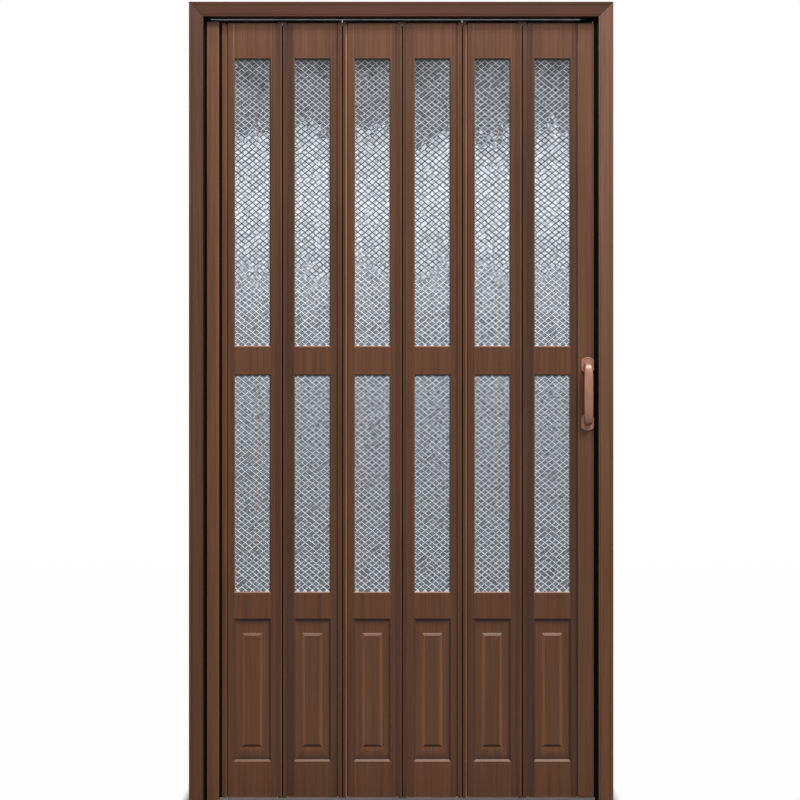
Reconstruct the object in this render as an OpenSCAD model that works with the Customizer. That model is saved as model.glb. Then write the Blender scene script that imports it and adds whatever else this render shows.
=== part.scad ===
// Accordion folding door in a mitred casing, closed.
// X runs along the doorway, Y through the wall and Z up from the floor.
// The front is the -Y side. The leaf hangs on the plane Y = 0.

/* [Leaf] */
// Number of folding slats, an even number so that the last one ends on the track
slat_count = 6; // [4:2:6]
// Distance between the two hinge lines of a slat
slat_span = 141; // [130:1:160]
// Distance between the two hinge lines of a connecting strip
strip_span = 16; // [15.5:0.5:20]
// Gap between the floor and the slats
floor_gap = 8; // [6:1:14]
// Wall of the slat extrusion
slat_wall = 1.4; // [1:0.1:2]
// Width of a slat's stile, from its edge to the window
stile_w = 16; // [14:1:24]
// Width of the score line between a stile and the rails
score_w = 1.2; // [0.6:0.1:1.6]
// Depth of that score line
score_d = 0.7; // [0.3:0.1:0.9]
// Rounding of the long edges of slats and posts
edge_r = 0.8; // [0.4:0.1:1.2]
// Thickness of the caps that close a slat's ends
slat_cap_t = 2.5; // [1.5:0.5:4]
// How far plugs reach into hollow sections
plug_len = 12; // [8:1:20]

/* [Rails and lights] */
// Height of the rail above the upper light
top_rail_h = 92; // [70:1:120]
// Height of the upper light
upper_light_h = 756; // [600:1:900]
// Height of the rail between the lights
mid_rail_h = 72; // [50:1:110]
// Height of the lower light
lower_light_h = 572; // [400:1:700]
// Height of the rail above the raised panel
lower_rail_h = 67; // [50:1:100]
// Height of the raised panel's opening
field_h = 375; // [250:1:450]
// Height of the bottom rail
bottom_rail_h = 94; // [70:1:130]
// Thickness of the patterned glass
glass_t = 4; // [3:0.5:5]
// Width of the glazing bead
bead_w = 3; // [2.5:0.5:8]
// Height that the bead keeps at the glass
bead_lip = 1.2; // [0.6:0.1:1.6]
// Thickness of the raised panel's floor
field_floor_t = 3; // [3:0.5:5]
// Width of the sloped border round the raised panel's floor
field_border_w = 6; // [3:1:10]
// Distance from the opening to the foot of the raised field, at the sides
field_side_gap = 22; // [12:1:24]
// Distance from the opening to the foot of the raised field, at top and bottom
field_end_gap = 38; // [20:1:60]
// Width of the raised field's bevel
field_bevel_w = 7; // [4:1:12]
// Depth of the raised field below the slat's face
field_sink = 0.4; // [0.4:0.1:1.4]
// Fitting clearance of glass, beads and plugs
fit_gap = 0.1; // [0.05:0.05:0.2]

/* [Hinges] */
// Radius of the hinge bead on a slat's edge
hinge_r = 4.3; // [4:0.1:4.5]
// Running clearance round the hinge bead
hinge_clear = 0.1; // [0.05:0.01:0.1]
// Wall of the socket round the bead
socket_wall = 1.1; // [0.9:0.1:1.3]
// Gap between a socket and the slat's edge
edge_gap = 0.5; // [0.4:0.1:1]
// Thickness of the neck that carries the bead
neck_t = 2.6; // [2:0.1:2.8]
// Angle of the neck towards the closed face of the strip
neck_angle = 30; // [24:1:32]
// Largest fold of each slat
fold_max = 84; // [60:1:84]
// Angle kept free between the neck and each end of its slot
slot_margin = 6; // [4:1:7]
// Shoulder of the strip past the hinge line, on its slotted face
open_lip = 1.6; // [1:0.1:1.6]
// Shoulder of the strip past the hinge line, on its closed face
closed_lip = 4; // [2:0.1:4.2]
// Width of the dark groove along the middle of each strip
groove_w = 3.4; // [2.4:0.2:3.6]
// Depth of that groove on the front
groove_front_d = 6; // [3:0.5:6]
// Depth of that groove on the back
groove_back_d = 2.5; // [1:0.5:2.5]
// Gap between a strip's end caps and the hinge beads
cap_gap = 0.3; // [0.3:0.05:0.5]
// Thickness of a strip's top cap
strip_cap_top_t = 4.5; // [3:0.5:5]
// Thickness of a strip's bottom cap
strip_cap_bottom_t = 4; // [2:0.5:4]
// Reach of a strip's caps past the hinge line
cap_reach = 3.5; // [2:0.5:3.5]
// Half depth of a strip's caps
cap_half_d = 4; // [3:0.5:4]

/* [Casing] */
// Width of the casing's face
face_w = 38; // [34:1:60]
// Depth of the casing through the wall
casing_d = 60; // [50:1:100]
// Wall of the hollow casing
casing_wall = 3; // [2:0.5:4]
// Width of the bead along the casing's outer edge
outer_bead_w = 7; // [5:1:10]
// Width of the bead along the casing's inner edge
inner_bead_w = 4; // [3:1:8]
// Width of the grooves beside those beads
moulding_groove_w = 1.6; // [1:0.1:2]
// Depth of those grooves
moulding_groove_d = 0.8; // [0.4:0.1:1.2]
// Length of each leg of a corner key
key_len = 70; // [50:5:100]
// Gap between the leaf and the track
head_gap = 7.5; // [5.5:0.5:12]
// Radius of the wall screw holes in the jambs
wall_hole_r = 2.75; // [2:0.25:3.5]
// Height of the lowest wall screw hole
wall_hole_z = 250; // [150:10:300]
// Distance between neighbouring wall screw holes
wall_hole_pitch = 500; // [400:10:550]
// Distance of the wall screw holes behind the track's plane
wall_hole_y = 21; // [20:1:22]

/* [Track and hangers] */
// Outer width of the track
track_w = 24; // [22:1:28]
// Height of the track
track_h = 18; // [16:1:24]
// Wall of the track
track_wall = 1.6; // [1.2:0.1:2]
// Width of the slot along the track
track_slot = 8; // [7:0.5:10]
// How far the track stands below the casing
track_drop = 5.5; // [4:0.5:8]
// Gap between the casing's groove and the track
track_gap = 0.3; // [0.2:0.1:0.5]
// Number of screws that hold the track
track_screws_n = 5; // [3:1:7]
// Radius of a hanger's pin
pin_r = 2.5; // [2:0.25:3]
// Height of the glides in the track
glide_h = 9; // [6:0.5:10]
// Length of a strip's glide
glide_len = 30; // [20:1:34]
// Length of the lead post's glide
lead_glide_len = 44; // [30:1:50]
// Running gap round the glides
glide_gap = 0.4; // [0.3:0.1:0.8]
// Length of a hanger's stem inside the strip's groove
stem_len = 24; // [12:1:60]

/* [Posts] */
// Visible gap between the left jamb and the end post
channel_gap = 7; // [6:1:12]
// Width of the end post
end_post_w = 32; // [28:1:45]
// Depth of the end post
end_post_d = 22; // [20:1:30]
// Wall of the end post
end_post_wall = 2; // [1.5:0.5:3]
// Gap between the end post's top and the track
end_post_gap = 5; // [0:0.5:8]
// Thickness of the wall channel's base
channel_base_t = 3; // [2:0.5:4]
// Depth of the wall channel and of the strike strip
channel_d = 18; // [16:1:22]
// Thickness of the wall channel's tongue
channel_tongue_t = 5; // [3:0.5:5]
// Reach of the wall channel's tongue into the end post
channel_tongue_len = 7; // [4:1:9]
// Visible gap between the end post and the starter strip
starter_gap = 7; // [4:1:10]
// Distance from the starter strip's edge to its hinge line
starter_w = 9; // [8:0.5:14]
// Thickness of the starter strip's tongue
starter_tongue_t = 3; // [2:0.5:4]
// Reach of that tongue into the end post
starter_tongue_len = 5; // [3:1:7]
// Distance from the last hinge line to the lead post's edge
lead_w = 39; // [38:1:60]
// Wall of the lead post
lead_wall = 1.6; // [1.2:0.1:2]
// Half width of the solid rib behind the handle
lead_rib = 4; // [3:0.5:5]
// Width of the seal along the lead post
seal_w = 8; // [6:0.5:9]
// Height of the seal
seal_h = 6; // [5:0.5:8]
// Thickness of the seal's root
seal_root_t = 4; // [3:0.5:4]
// Depth of the seal's root in the lead post
seal_root_d = 3; // [2:0.5:3]
// Gap between the closed seal and the strike strip
close_gap = 0.3; // [0.3:0.1:1]
// Thickness of the strike strip's base
strike_base_t = 4; // [3.5:0.5:5]
// Height of the strike strip's ribs over its base
strike_rib_h = 3; // [2:0.5:4]
// Width of the strike strip's ribs
strike_rib_w = 3; // [2:0.5:3.5]

/* [Screws] */
// Radius of the small screws
screw_r = 1.5; // [1:0.25:2]
// Radius of their heads
screw_head_r = 2.8; // [2.25:0.25:3]
// Height of their heads
screw_head_h = 1.4; // [1:0.1:2]
// How far the screws reach past the wall that they hold
screw_past = 6; // [3:1:8]
// Number of screws in the wall channel and in the strike strip
side_screws_n = 5; // [3:1:8]
// Distance of the first of them from the floor and from the track
side_screw_inset = 120; // [60:10:200]

/* [Handles] */
// Height of the middle of the handles above the floor
handle_z = 1065; // [900:5:1200]
// Width of a handle's pads
pad_w = 33; // [28:0.5:33]
// Radius of the pads' round ends
pad_r = 21; // [18:0.5:24]
// Thickness of the pads
pad_t = 4; // [3:0.5:6]
// Distance between the pads' middles
pad_pitch = 150; // [120:1:180]
// Distance from the lead post to the outside of the grip
handle_reach = 36; // [30:1:45]
// Width of the grip
grip_w = 22; // [16:1:24]
// Thickness of the grip
grip_t = 7; // [5:0.5:9]
// Middle radius of the grip's two bends
bend_r = 16; // [12:1:20]
// Radius of the bolts through both handles
bolt_r = 2; // [1.5:0.25:2.5]
// Depth of the bolts in each handle
bolt_depth = 12; // [8:1:14]
// Distance of the pads from the lead post's edge
pad_inset = 0.3; // [0:0.1:1]

/* [Hidden] */
$fn = 48;
// Gap round screws, bolts and pins in their holes
round_gap = 0.1;
// Overlap of shapes that make up one solid
weld = 1;
// How far cuts run past the faces that they open
over = 1;
bore_r = hinge_r + hinge_clear;
socket_r = bore_r + socket_wall;
leaf_t = 2 * socket_r;
edge_x = socket_r + edge_gap;
slat_w = slat_span - 2 * edge_x;
light_x = edge_x + stile_w;
light_w = slat_span - 2 * light_x;

leaf_h = bottom_rail_h + field_h + lower_rail_h + lower_light_h + mid_rail_h + upper_light_h + top_rail_h;
leaf_z = floor_gap;
leaf_top = leaf_z + leaf_h;
field_z = leaf_z + bottom_rail_h;
lower_light_z = field_z + field_h + lower_rail_h;
upper_light_z = lower_light_z + lower_light_h + mid_rail_h;
body_z = leaf_z + slat_cap_t;
body_h = leaf_h - 2 * slat_cap_t;
strip_z = body_z - cap_gap;
strip_h = body_h + 2 * cap_gap;
strip_top = strip_z + strip_h;

track_z = leaf_top + head_gap;
track_room = track_h - track_drop;
opening_h = track_z + track_drop;
casing_h = opening_h + face_w;
key_t = face_w - 2 * casing_wall - track_room - 2 * fit_gap;

strike_t = strike_base_t + strike_rib_h;
lead_gap = seal_h + close_gap + strike_base_t;
opening_w = channel_gap + end_post_w + starter_gap + starter_w + slat_count * slat_span
    + (slat_count - 1) * strip_span + lead_w + lead_gap;
casing_w = opening_w + 2 * face_w;
left_x = -opening_w / 2;
right_x = opening_w / 2;
channel_screw_y = (channel_tongue_t + channel_d) / 4;
end_post_x = left_x + channel_gap;
starter_x = end_post_x + end_post_w + starter_gap;
first_pivot_x = starter_x + starter_w;
pitch = slat_span + strip_span;
lead_pivot_x = first_pivot_x + slat_count * pitch - strip_span;
handle_x = lead_w - pad_inset - pad_w / 2;
lead_cell_x = bore_r + lead_wall;
lead_cell_end = lead_w - seal_root_d - lead_wall;

slot_half = asin(neck_t / 2 / bore_r);
slot_closed = neck_angle + slot_half + slot_margin;
slot_open = fold_max - neck_angle + slot_half + slot_margin;

lip_z = track_z + track_wall;
glide_z = lip_z + glide_gap;
glide_w = track_w - 2 * track_wall - 2 * glide_gap;
field_floor_y = field_floor_t / 2;
pull_end_y = leaf_t / 2 + handle_reach;

wood = [0.40, 0.28, 0.21];
trim = [0.36, 0.25, 0.19];
dark = [0.10, 0.09, 0.08];
metal = [0.72, 0.72, 0.72];
copper = [0.58, 0.41, 0.33];
glazing = [0.72, 0.76, 0.80, 0.6];

function pivot_x(n) = first_pivot_x + n * pitch;
function strip_x(n) = first_pivot_x + n * pitch - strip_span / 2;
// The slots of odd strips open to the back, and those of even strips to the front
function open_side(n) = n % 2 == 1 ? 1 : -1;

// A rectangle from corner a to corner b with rounded corners
module rounded(a, b, r) {
    translate([a.x + r, a.y]) square([b.x - a.x - 2 * r, b.y - a.y]);
    translate([a.x, a.y + r]) square([b.x - a.x, b.y - a.y - 2 * r]);
    for (x = [a.x + r, b.x - r]) for (y = [a.y + r, b.y - r]) translate([x, y]) circle(r = r);
}

module box(a, b) {
    translate(a) cube(b - a);
}

// The socket's bore, and the slot in which the neck swings, for a slat on the +X side
module socket_space(side) {
    reach = 3 * leaf_t;
    middle = (slot_closed - slot_open) / 2;
    circle(r = bore_r);
    scale([1, -side]) polygon([
        [0, 0],
        reach * [cos(slot_closed), sin(slot_closed)],
        reach * [cos(middle), sin(middle)],
        reach * [cos(slot_open), -sin(slot_open)]
    ]);
}

// The shoulders round the socket's bore
module socket_body(side) {
    open_y = side > 0 ? 0 : -socket_r;
    translate([-weld, open_y]) square([weld + open_lip, socket_r]);
    translate([-weld, -socket_r - open_y]) square([weld + closed_lip, socket_r]);
}

// The neck and bead of a slat that lies on the +X side of the hinge line
module hinge_bead(side) {
    circle(r = hinge_r);
    rotate(-side * neck_angle) translate([0, -neck_t / 2])
        square([(edge_x + slat_wall / 2) / cos(neck_angle), neck_t]);
}

module groove_shape() {
    translate([-groove_w / 2, -leaf_t / 2 - over]) square([groove_w, groove_front_d + over]);
    translate([-groove_w / 2, leaf_t / 2 - groove_back_d]) square([groove_w, groove_back_d + over]);
}

module strip_shape(side) {
    difference() {
        union() {
            square([strip_span, leaf_t], center = true);
            for (m = [0, 1]) mirror([m, 0]) translate([strip_span / 2, 0]) socket_body(side);
        }
        for (m = [0, 1]) mirror([m, 0]) translate([strip_span / 2, 0]) socket_space(side);
        groove_shape();
    }
}

// The cells of a slat: one in each stile and a wide one between them
module slat_cells(gap) {
    low = -leaf_t / 2 + slat_wall + gap;
    for (x = [edge_x + slat_wall, slat_span - light_x])
        translate([x + gap, low]) square([stile_w - 2 * slat_wall - 2 * gap, -2 * low]);
    translate([light_x + gap, low]) square([light_w - 2 * gap, -2 * low]);
}

module score_lines() {
    for (m = [0, 1]) for (y = [-1, 1])
        translate([m * slat_span, 0]) mirror([m, 0]) translate([light_x, y * leaf_t / 2])
            polygon([[0, 0], [-score_w, 0], [-score_w / 2, -y * score_d]]);
}

module slat_outline() {
    difference() {
        rounded([edge_x, -leaf_t / 2], [slat_span - edge_x, leaf_t / 2], edge_r);
        score_lines();
    }
}

module slat_opening(z, h) {
    box([light_x, -leaf_t, z], [light_x + light_w, leaf_t, z + h]);
}

module slat(n) {
    color(wood) translate([pivot_x(n - 1), 0, 0]) difference() {
        translate([0, 0, body_z]) linear_extrude(body_h) {
            difference() {
                slat_outline();
                slat_cells(0);
            }
            hinge_bead(open_side(n - 1));
            translate([slat_span, 0]) mirror([1, 0]) hinge_bead(open_side(n));
        }
        slat_opening(upper_light_z, upper_light_h);
        slat_opening(lower_light_z, lower_light_h);
        slat_opening(field_z, field_h);
    }
}

module slat_caps(n) {
    color(trim) translate([pivot_x(n - 1), 0, 0]) {
        translate([0, 0, leaf_z]) linear_extrude(slat_cap_t) slat_outline();
        translate([0, 0, body_z]) linear_extrude(plug_len) slat_cells(fit_gap);
        translate([0, 0, leaf_top - slat_cap_t]) linear_extrude(slat_cap_t) slat_outline();
        translate([0, 0, leaf_top - slat_cap_t - plug_len]) linear_extrude(plug_len) slat_cells(fit_gap);
    }
}

// A block w wide and h high that narrows by inset from y0 at its foot to y1 at its top.
// Its foot runs on straight past y0, so that it meets or clears the face there.
module bevelled_block(w, h, y0, y1, inset) {
    foot_y = y0 + weld * sign(y0 - y1);
    side = [[-1, foot_y], [-1, y0], [-1, y1], [1, y1], [1, y0], [1, foot_y]];
    taper = [0, 0, inset, inset, 0, 0];
    intersection() {
        linear_extrude(h) polygon([for (i = [0:5]) [side[i].x * (w / 2 - taper[i]), side[i].y]]);
        translate([-w / 2, 0, h / 2]) rotate([90, 0, 90]) linear_extrude(w)
            polygon([for (i = [0:5]) [side[i].y, side[i].x * (h / 2 - taper[i])]]);
    }
}

// One ring of glazing bead against the glass, on the side of the slat given by mirror
module bead_ring(h, back) {
    w = light_w - 2 * fit_gap;
    high = h - 2 * fit_gap;
    glass_y = glass_t / 2;
    face_y = leaf_t / 2;
    mirror([0, back]) difference() {
        box([-w / 2, -face_y, 0], [w / 2, -glass_y, high]);
        box([-w / 2 + bead_w, -leaf_t, bead_w], [w / 2 - bead_w, 0, high - bead_w]);
        bevelled_block(w, high, -face_y, -glass_y - bead_lip, bead_w);
    }
}

module beads(n) {
    color(trim) translate([pivot_x(n - 1) + slat_span / 2, 0, fit_gap]) for (back = [0, 1]) {
        translate([0, 0, upper_light_z]) bead_ring(upper_light_h, back);
        translate([0, 0, lower_light_z]) bead_ring(lower_light_h, back);
    }
}

module pane(z, h) {
    w = light_w / 2 - fit_gap;
    box([-w, -glass_t / 2, z + fit_gap], [w, glass_t / 2, z + h - fit_gap]);
}

module panes(n) {
    color(glazing) translate([pivot_x(n - 1) + slat_span / 2, 0, 0]) {
        pane(upper_light_z, upper_light_h);
        pane(lower_light_z, lower_light_h);
    }
}

// The moulded insert with a raised field on both faces
module field(n) {
    w = light_w - 2 * fit_gap;
    high = field_h - 2 * fit_gap;
    face_y = leaf_t / 2;
    color(wood) translate([pivot_x(n - 1) + slat_span / 2, 0, field_z + fit_gap]) {
        difference() {
            box([-w / 2, -face_y, 0], [w / 2, face_y, high]);
            for (back = [0, 1]) mirror([0, back]) {
                bevelled_block(w, high, -face_y, -field_floor_y, field_border_w);
            }
        }
        for (back = [0, 1]) mirror([0, back]) translate([0, 0, field_end_gap])
            bevelled_block(w - 2 * field_side_gap, high - 2 * field_end_gap, -field_floor_y,
                -face_y + field_sink, field_bevel_w);
    }
}

module strip(n) {
    color(wood) translate([strip_x(n), 0, strip_z]) linear_extrude(strip_h) strip_shape(open_side(n));
}

// The outline of a strip's cap, which reaches over the hinge beads beside it
module cap_shape() {
    half = strip_span / 2 + cap_reach;
    rounded([-half, -cap_half_d], [half, cap_half_d], edge_r);
}

// The cap's nib that plugs into the strip's groove
module cap_nib(high) {
    translate([-groove_w / 2 + fit_gap, leaf_t / 2 - groove_back_d + fit_gap])
        square([groove_w - 2 * fit_gap, high]);
}

module strip_caps(n) {
    nib_d = cap_half_d - leaf_t / 2 + groove_back_d - fit_gap;
    hung = n % 2 == 0;
    color(trim) translate([strip_x(n), 0, 0]) {
        difference() {
            translate([0, 0, strip_top]) linear_extrude(strip_cap_top_t) cap_shape();
            if (hung) translate([0, 0, strip_top - over])
                cylinder(r = pin_r + round_gap, h = strip_cap_top_t + 2 * over);
        }
        translate([0, 0, strip_top - plug_len]) linear_extrude(plug_len) cap_nib(nib_d);
        translate([0, 0, strip_z - strip_cap_bottom_t]) linear_extrude(strip_cap_bottom_t) cap_shape();
        translate([0, 0, strip_z]) linear_extrude(plug_len) cap_nib(nib_d);
    }
}

// A glide with its pin, from z up into the track
module glide(z, length) {
    top = glide_z + glide_h;
    translate([0, 0, z]) cylinder(r = pin_r, h = top - z);
    box([-length / 2, -glide_w / 2, glide_z], [length / 2, glide_w / 2, top]);
}

// The pin stands on a flat stem that is seated in the strip's front groove
module strip_hanger(n) {
    floor_y = -leaf_t / 2 + groove_front_d;
    half = groove_w / 2 - fit_gap;
    color(metal) translate([strip_x(n), 0, 0]) {
        glide(strip_top, glide_len);
        box([-half, floor_y - pin_r - half, strip_top - stem_len], [half, floor_y, strip_top]);
    }
}

// The jamb's section: X from the opening's edge outwards, Y through the wall
module casing_shape() {
    half = casing_d / 2;
    module moulding_groove(x) {
        for (y = [-1, 1]) translate([x, y * half])
            polygon([[0, 0], [moulding_groove_w, 0], [moulding_groove_w / 2, -y * moulding_groove_d]]);
    }
    difference() {
        rounded([0, -half], [face_w, half], edge_r);
        translate([casing_wall, -half + casing_wall])
            square([face_w - 2 * casing_wall, casing_d - 2 * casing_wall]);
        moulding_groove(inner_bead_w);
        moulding_groove(face_w - outer_bead_w - moulding_groove_w);
    }
}

// Cuts away what lies past the mitre: its edge runs from the opening's corner to the outer corner
module mitre_cut() {
    rotate([90, 0, 0]) linear_extrude(2 * casing_d, center = true)
        polygon([[-over, -over], [-over, 2 * face_w], [2 * face_w, 2 * face_w]]);
}

module jamb_blank() {
    difference() {
        linear_extrude(casing_h) casing_shape();
        translate([0, 0, opening_h]) mitre_cut();
        for (i = [0:3]) translate([-over, wall_hole_y, wall_hole_z + i * wall_hole_pitch])
            rotate([0, 90, 0]) cylinder(r = wall_hole_r, h = face_w + 2 * over);
    }
}

function side_screw_z(i) = side_screw_inset
    + i * (track_z - 2 * side_screw_inset) / (side_screws_n - 1);

// The holes of the screws that hold a strip against a jamb's inner face, at depth y
module side_screw_holes(y) {
    for (i = [0:side_screws_n - 1]) translate([-over, y, side_screw_z(i)])
        rotate([0, 90, 0]) cylinder(r = screw_r + round_gap, h = casing_wall + 2 * over);
}

module left_jamb() {
    color(wood) translate([left_x, 0, 0]) mirror([1, 0, 0]) difference() {
        jamb_blank();
        side_screw_holes(channel_screw_y);
    }
}

module right_jamb() {
    color(wood) translate([right_x, 0, 0]) difference() {
        jamb_blank();
        side_screw_holes(0);
    }
}

function track_screw_x(i) = left_x + side_screw_inset
    + i * (opening_w - 2 * side_screw_inset) / (track_screws_n - 1);

module head_jamb() {
    wall_w = track_w + 2 * track_gap + 2 * casing_wall;
    color(wood) difference() {
        translate([0, 0, opening_h]) difference() {
            translate([-casing_w / 2, 0, 0]) rotate([90, 0, 90]) linear_extrude(casing_w) {
                difference() {
                    union() {
                        rotate(90) casing_shape();
                        translate([-wall_w / 2, casing_wall / 2])
                            square([wall_w, track_room + casing_wall / 2]);
                    }
                    translate([-track_w / 2 - track_gap, -over])
                        square([track_w + 2 * track_gap, track_room + over]);
                }
            }
            for (m = [0, 1]) mirror([m, 0, 0]) translate([right_x, 0, 0]) rotate([90, 0, 0])
                linear_extrude(2 * casing_d, center = true)
                    polygon([[0, 0], [2 * face_w, 2 * face_w], [2 * face_w, -over], [0, -over]]);
        }
        for (i = [0:track_screws_n - 1]) translate([track_screw_x(i), 0, opening_h + track_room - over])
            cylinder(r = screw_r + round_gap, h = casing_wall + 2 * over);
    }
}

// Flat keys that lie against the outer wall of the hollow casing in both upper corners
module corner_keys() {
    out = face_w - casing_wall - fit_gap;
    d = casing_d / 2 - casing_wall - fit_gap;
    color(dark) for (m = [0, 1]) mirror([m, 0, 0]) translate([right_x, 0, opening_h]) difference() {
        box([out - key_len, -d, out - key_len], [out, d, out]);
        box([out - key_len - over, -d - over, out - key_len - over], [out - key_t, d + over, out - key_t]);
    }
}

module head_track() {
    inner = track_w / 2 - track_wall;
    color(metal) difference() {
        box([left_x, -track_w / 2, track_z], [right_x, track_w / 2, track_z + track_h]);
        box([left_x - over, -inner, lip_z], [right_x + over, inner, track_z + track_h - track_wall]);
        box([left_x - over, -track_slot / 2, track_z - over], [right_x + over, track_slot / 2, lip_z + over]);
        for (i = [0:track_screws_n - 1]) translate([track_screw_x(i), 0, track_z])
            cylinder(r = screw_r + round_gap, h = track_h + over);
    }
}

// A screw along +Z whose head rests under z = 0
module screw(grip) {
    translate([0, 0, -screw_head_h]) cylinder(r = screw_head_r, h = screw_head_h);
    cylinder(r = screw_r, h = grip + screw_past);
}

module fixing_screws() {
    color(metal) {
        for (i = [0:track_screws_n - 1])
            translate([track_screw_x(i), 0, track_z + track_h - track_wall]) screw(track_wall);
        for (i = [0:side_screws_n - 1]) {
            translate([left_x + channel_base_t, channel_screw_y, side_screw_z(i)])
                rotate([0, -90, 0]) screw(channel_base_t);
            translate([right_x - strike_base_t + screw_head_h, 0, side_screw_z(i)])
                rotate([0, 90, 0]) screw(strike_base_t - screw_head_h);
        }
    }
}

module wall_channel() {
    half = channel_d / 2;
    tongue = channel_tongue_t / 2;
    color(dark) translate([left_x, 0, 0]) difference() {
        union() {
            box([0, -half, 0], [channel_base_t, half, track_z]);
            box([0, -tongue, 0], [channel_gap + channel_tongue_len, tongue, track_z]);
        }
        for (i = [0:side_screws_n - 1]) translate([-over, channel_screw_y, side_screw_z(i)])
            rotate([0, 90, 0]) cylinder(r = screw_r + round_gap, h = channel_base_t + 2 * over);
    }
}

module end_post() {
    half = end_post_d / 2;
    left_slot = channel_tongue_len + fit_gap;
    right_slot = starter_tongue_len + fit_gap;
    color(wood) translate([end_post_x, 0, 0]) linear_extrude(track_z - end_post_gap) difference() {
        rounded([0, -half], [end_post_w, half], edge_r);
        translate([-over, -channel_tongue_t / 2 - fit_gap])
            square([left_slot + over, channel_tongue_t + 2 * fit_gap]);
        translate([end_post_w - right_slot, -starter_tongue_t / 2 - fit_gap])
            square([right_slot + over, starter_tongue_t + 2 * fit_gap]);
        translate([left_slot + end_post_wall, -half + end_post_wall])
            square([end_post_w - left_slot - right_slot - 2 * end_post_wall, end_post_d - 2 * end_post_wall]);
    }
}

// The fixed half strip that carries the first hinge line
module starter_strip() {
    side = open_side(0);
    tongue = starter_tongue_t / 2;
    color(wood) translate([first_pivot_x, 0, leaf_z]) linear_extrude(leaf_h) {
        difference() {
            union() {
                rounded([-starter_w, -leaf_t / 2], [0, leaf_t / 2], edge_r);
                square([2 * edge_r, leaf_t], center = true);
                socket_body(side);
            }
            socket_space(side);
        }
        translate([-starter_w - starter_gap - starter_tongue_len, -tongue])
            square([starter_gap + starter_tongue_len + edge_r, starter_tongue_t]);
    }
}

module strike_strip() {
    half = channel_d / 2;
    color(dark) translate([right_x, 0, 0]) difference() {
        box([-strike_t, -half, 0], [0, half, track_z]);
        box([-strike_t - over, -half + strike_rib_w, -over],
            [-strike_base_t, half - strike_rib_w, track_z + over]);
        for (i = [0:side_screws_n - 1]) translate([0, 0, side_screw_z(i)]) rotate([0, -90, 0]) {
            translate([0, 0, -over]) cylinder(r = screw_r + round_gap, h = strike_base_t + 2 * over);
            translate([0, 0, strike_base_t - screw_head_h])
                cylinder(r = screw_head_r + round_gap, h = screw_head_h + over);
        }
    }
}

module lead_cells(gap) {
    low = -leaf_t / 2 + lead_wall + gap;
    translate([lead_cell_x + gap, low]) square([handle_x - lead_rib - lead_cell_x - 2 * gap, -2 * low]);
    translate([handle_x + lead_rib + gap, low])
        square([lead_cell_end - handle_x - lead_rib - 2 * gap, -2 * low]);
}

module at_pads() {
    for (side = [-1, 1]) translate([handle_x, 0, handle_z + side * pad_pitch / 2]) children();
}

module lead_post() {
    side = open_side(slat_count);
    color(wood) translate([lead_pivot_x, 0, 0]) difference() {
        translate([0, 0, strip_z]) linear_extrude(strip_h) difference() {
            union() {
                rounded([-2 * edge_r, -leaf_t / 2], [lead_w, leaf_t / 2], edge_r);
                mirror([1, 0]) socket_body(side);
            }
            mirror([1, 0]) socket_space(side);
            lead_cells(0);
            translate([lead_w - seal_root_d - fit_gap, -seal_root_t / 2 - fit_gap])
                square([seal_root_d + over, seal_root_t + 2 * fit_gap]);
        }
        at_pads() rotate([90, 0, 0]) cylinder(r = bolt_r + round_gap, h = 2 * leaf_t, center = true);
    }
}

// Caps over both ends of the lead post, with plugs in its cells
module lead_caps() {
    cap_start = -cap_reach;
    color(trim) translate([lead_pivot_x, 0, 0]) {
        for (z = [strip_z - slat_cap_t, strip_top]) translate([0, 0, z]) linear_extrude(slat_cap_t)
            rounded([cap_start, -cap_half_d], [lead_w, cap_half_d], edge_r);
        for (z = [strip_z, strip_top - plug_len]) translate([0, 0, z])
            linear_extrude(plug_len) lead_cells(fit_gap);
    }
}

module lead_seal() {
    color(dark) translate([lead_pivot_x + lead_w, 0, strip_z]) linear_extrude(strip_h) {
        translate([-seal_root_d, -seal_root_t / 2]) square([seal_root_d + weld, seal_root_t]);
        rounded([0, -seal_w / 2], [seal_h, seal_w / 2], edge_r);
    }
}

// The lead post's hanger: a flat foot on the cap, a stop stud at its end and the pin of the glide
module lead_hanger() {
    foot_z = strip_top + slat_cap_t;
    foot_t = (track_z - foot_z) / 3;
    stud_h = track_z - foot_z - glide_gap;
    color(metal) translate([lead_pivot_x, 0, 0]) {
        translate([handle_x, 0, 0]) glide(foot_z, lead_glide_len);
        translate([handle_x, 0, foot_z]) linear_extrude(foot_t)
            rounded([-2 * pin_r, -cap_half_d], [lead_w - handle_x, cap_half_d], edge_r);
        translate([lead_w - pin_r, 0, foot_z]) cylinder(r = pin_r, h = stud_h);
    }
}

// The grip's cross section, wide along X
module grip_shape() {
    rounded([-grip_w / 2, -grip_t / 2], [grip_w / 2, grip_t / 2], grip_t / 2.2);
}

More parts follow.
